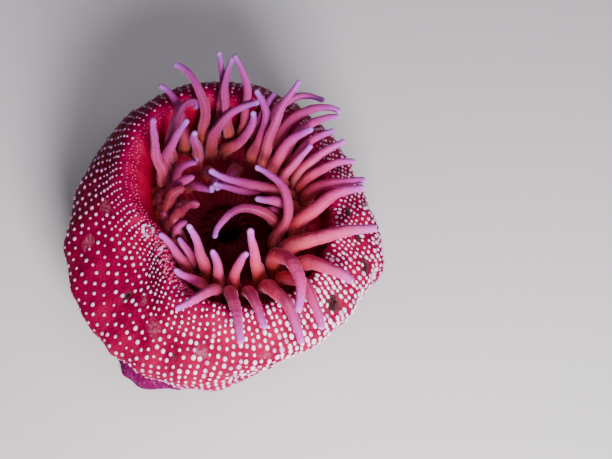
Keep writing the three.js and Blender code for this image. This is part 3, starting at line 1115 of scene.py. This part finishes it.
def wart_piece(name, warts):
    """One joined mesh of warts, each square to the flesh, with a patch of its own in the unwrap.

    Each wart is given as (angle, length along the section, size, stretch up the row, tone).
    """
    turns, lengths, sizes, stretches, tones = warts.T
    places = flesh_at(turns, lengths)
    upward = flesh_at(turns, lengths + PROBE_LENGTH) - flesh_at(turns, lengths - PROBE_LENGTH)
    around = flesh_at(turns + PROBE_ANGLE, lengths) - flesh_at(turns - PROBE_ANGLE, lengths)
    normals = np.cross(around, upward)
    normals /= np.linalg.norm(normals, axis=1, keepdims=True)
    upward /= np.linalg.norm(upward, axis=1, keepdims=True)
    around = np.cross(upward, normals)

    count = len(wart_corners)
    reach = MM * WART_RADIUS * sizes[:, None, None]
    across = reach * wart_corners[None, :, 0:1] * around[:, None, :]
    along = reach * stretches[:, None, None] * wart_corners[None, :, 1:2] * upward[:, None, :]
    raised = MM * WART_HEIGHT * sizes[:, None, None] * wart_corners[None, :, 2:3] * normals[:, None, :]
    corners = (places[:, None, :] + across + along + raised).reshape(-1, 3)
    faces = (wart_faces[None, :, :] + count * np.arange(len(warts))[:, None, None]).reshape(-1, 3)

    mesh = bpy.data.meshes.new(name)
    mesh.from_pydata(corners.tolist(), [], faces.tolist())
    mesh.update()
    middle = np.stack([turns / (2 * math.pi) % 1, lengths / line_length], axis=1)[:, None, :]
    unwrap = np.clip(middle + PATCH_RADIUS * wart_corners[None, :, :2], 0, 1).reshape(-1, 2)
    layer = mesh.uv_layers.new(name="OFBake")
    layer.data.foreach_set("uv", unwrap[faces.ravel()].ravel())
    carry(mesh, "cap", np.tile(np.clip(wart_corners[:, 2], 0, 1), len(warts)))
    carry(mesh, "tone", np.repeat(tones, count))
    mesh.shade_smooth()
    piece = bpy.data.objects.new(name, mesh)
    bpy.context.scene.collection.objects.link(piece)
    return piece


def wart_material(name, rim, middle, top, dull_and_shaded):
    """A wet wart, stained by the red flesh round its rim. Where its tone is low, it takes the dull colour
    given: painted shade on warts in shade and low on the column, and the own dull colour of a few warts
    and of the plain beads.
    """
    material = bpy.data.materials.new(name)
    material.use_nodes = True
    nodes, links = material.node_tree.nodes, material.node_tree.links
    shader = nodes["Principled BSDF"]
    cap_value = nodes.new("ShaderNodeAttribute")
    cap_value.attribute_name = "cap"
    tone_value = nodes.new("ShaderNodeAttribute")
    tone_value.attribute_name = "tone"
    rise = ramp(nodes, [(0.0, rim), (0.35, middle), (0.7, top)])
    links.new(cap_value.outputs["Fac"], rise.inputs["Fac"])
    colour = blend(nodes, links, "MIX", tone_value.outputs["Fac"], (*dull_and_shaded, 1), rise.outputs["Color"])
    links.new(colour, shader.inputs["Base Color"])
    mottle = nodes.new("ShaderNodeGroup")
    mottle.node_tree = tissue_mottle
    mottle.inputs["Grain Scale"].default_value = WART_GRAIN
    raise_grain(nodes, links, mottle.outputs["Grain"], strength=0.2, depth=WART_RELIEF)
    shader.inputs["Roughness"].default_value = 0.3
    shader.inputs["Subsurface Weight"].default_value = 0.1
    shader.inputs["Subsurface Radius"].default_value = (1.0, 0.5, 0.6)
    shader.inputs["Subsurface Scale"].default_value = 0.0005
    shader.inputs["Coat Weight"].default_value = 0.4
    shader.inputs["Coat Roughness"].default_value = 0.15
    return material


verrucae = wart_piece("verrucae", warts)
verrucae.data.materials.append(
    wart_material(
        "wart_white",
        rim=(0.42, 0.01, 0.07),
        middle=(0.85, 0.42, 0.76),
        top=(0.96, 0.86, 0.99),
        # The dull colour is the painted shade of warts away from the light, and the own colour of a few
        # dull warts.
        dull_and_shaded=(0.44, 0.08, 0.32),
    )
)
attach(verrucae, "root")


# ---------------------------------------------------------------------------------------------
# Papillae: a fine pink beading on the collar's crest, crowded and lilac where the collar is pinched
# into a frill on the left in front. The warts' dome, smaller, strewn inward from the last warts.

BEAD_ROWS = 190
FRILLY_AT = 228
FRILLY_WIDTH = 24

# Each pair is for the plain crest and for the frill.
FRINGE_WIDTHS = (3.2, 9.5)
BEAD_SIZES = (0.34, 0.68)
BEAD_STRAYING = (0.25, 0.75)
BEAD_STEPS = (1.25, 1.15)
PLAIN_TONE = 0.22
FRILL_TONES = (0.15, 0.3, 0.5, 1.0)

beads = []
for row in range(BEAD_ROWS):
    turn = 2 * math.pi * (row + scatter.uniform(-0.2, 0.2)) / BEAD_ROWS
    frilly = float(lobe(turn, FRILLY_AT, FRILLY_WIDTH))
    first = row_end(turn) + 0.4
    at = first + scatter.uniform(0, 0.8)
    while at < first + mix(*FRINGE_WIDTHS, frilly):
        size = mix(*BEAD_SIZES, frilly) * scatter.uniform(0.7, 1.3)
        turned = turn + mix(*BEAD_STRAYING, frilly) * scatter.uniform(-1, 1) * 2 * math.pi / BEAD_ROWS
        tone = mix(PLAIN_TONE, scatter.choice(FRILL_TONES), frilly)
        beads.append((turned, at, size, scatter.uniform(1.0, 1.3 + 0.3 * frilly), tone))
        at += mix(*BEAD_STEPS, frilly) * scatter.uniform(0.7, 1.3)
papillae = wart_piece("collar_papillae", np.array(beads))
papillae.data.materials.append(
    wart_material(
        "papilla_pink",
        rim=(0.32, 0.0, 0.03),
        middle=(0.50, 0.01, 0.11),
        top=(0.70, 0.16, 0.42),
        dull_and_shaded=(0.40, 0.002, 0.06),
    )
)
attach(papillae, "root")
